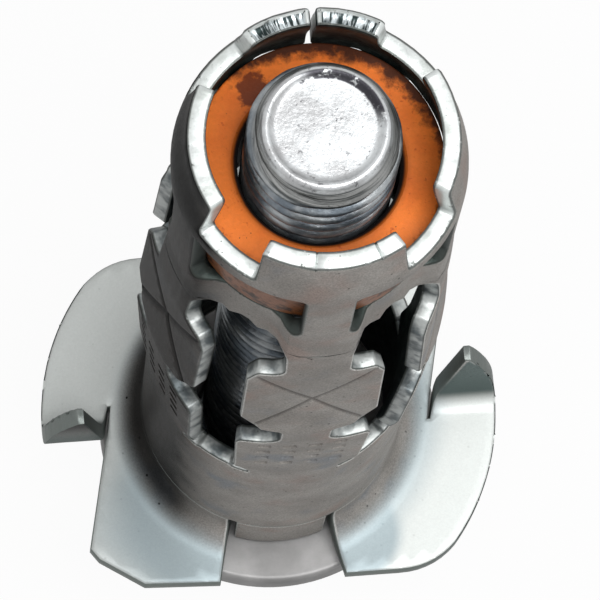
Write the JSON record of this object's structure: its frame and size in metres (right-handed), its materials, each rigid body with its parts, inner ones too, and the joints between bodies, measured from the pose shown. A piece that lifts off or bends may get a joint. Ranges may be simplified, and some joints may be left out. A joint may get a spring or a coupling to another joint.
{
  "type": "hollow wall anchor",
  "caption": "Rolled steel sleeve with folding legs, crown collar and winged flange, holding a round nut, with a washer and a hexagon bolt along its axis.",
  "frame": {"origin": "on the bolt's axis, at the bottom face of the bolt's head", "axes": "+Z along the bolt from its head to the sleeve's tail, -Y through the middle of the front leg"},
  "size_m": [0.027, 0.0202, 0.0653],
  "materials": {
    "zinc_sheet": "zinc plated rolled sheet, satin",
    "orange_coat": "orange coated steel, satin",
    "zinc_washer": "zinc plated, satin",
    "zinc_bolt": "zinc plated, bright"
  },
  "bodies": {
    "anchor": {"sleeve": "zinc_sheet", "nut": "orange_coat"},
    "loose_washer": {"washer": "zinc_washer"},
    "screw": {"bolt": "zinc_bolt"}
  },
  "joints": [
    {"name": "bolt_advance", "type": "slide", "parent": "anchor", "child": "loose_washer", "axis": [0, 0, -1], "range_m": [0, 0.01125]},
    {"name": "bolt_turn", "type": "hinge", "parent": "loose_washer", "child": "screw", "pos_m": [0, 0, 0.01], "axis": [0, 0, -1], "range_deg": [0, 3240]}
  ],
  "couplings": [
    {"joint": "bolt_turn", "follows": "bolt_advance", "rad_per_m": 5026.5}
  ]
}
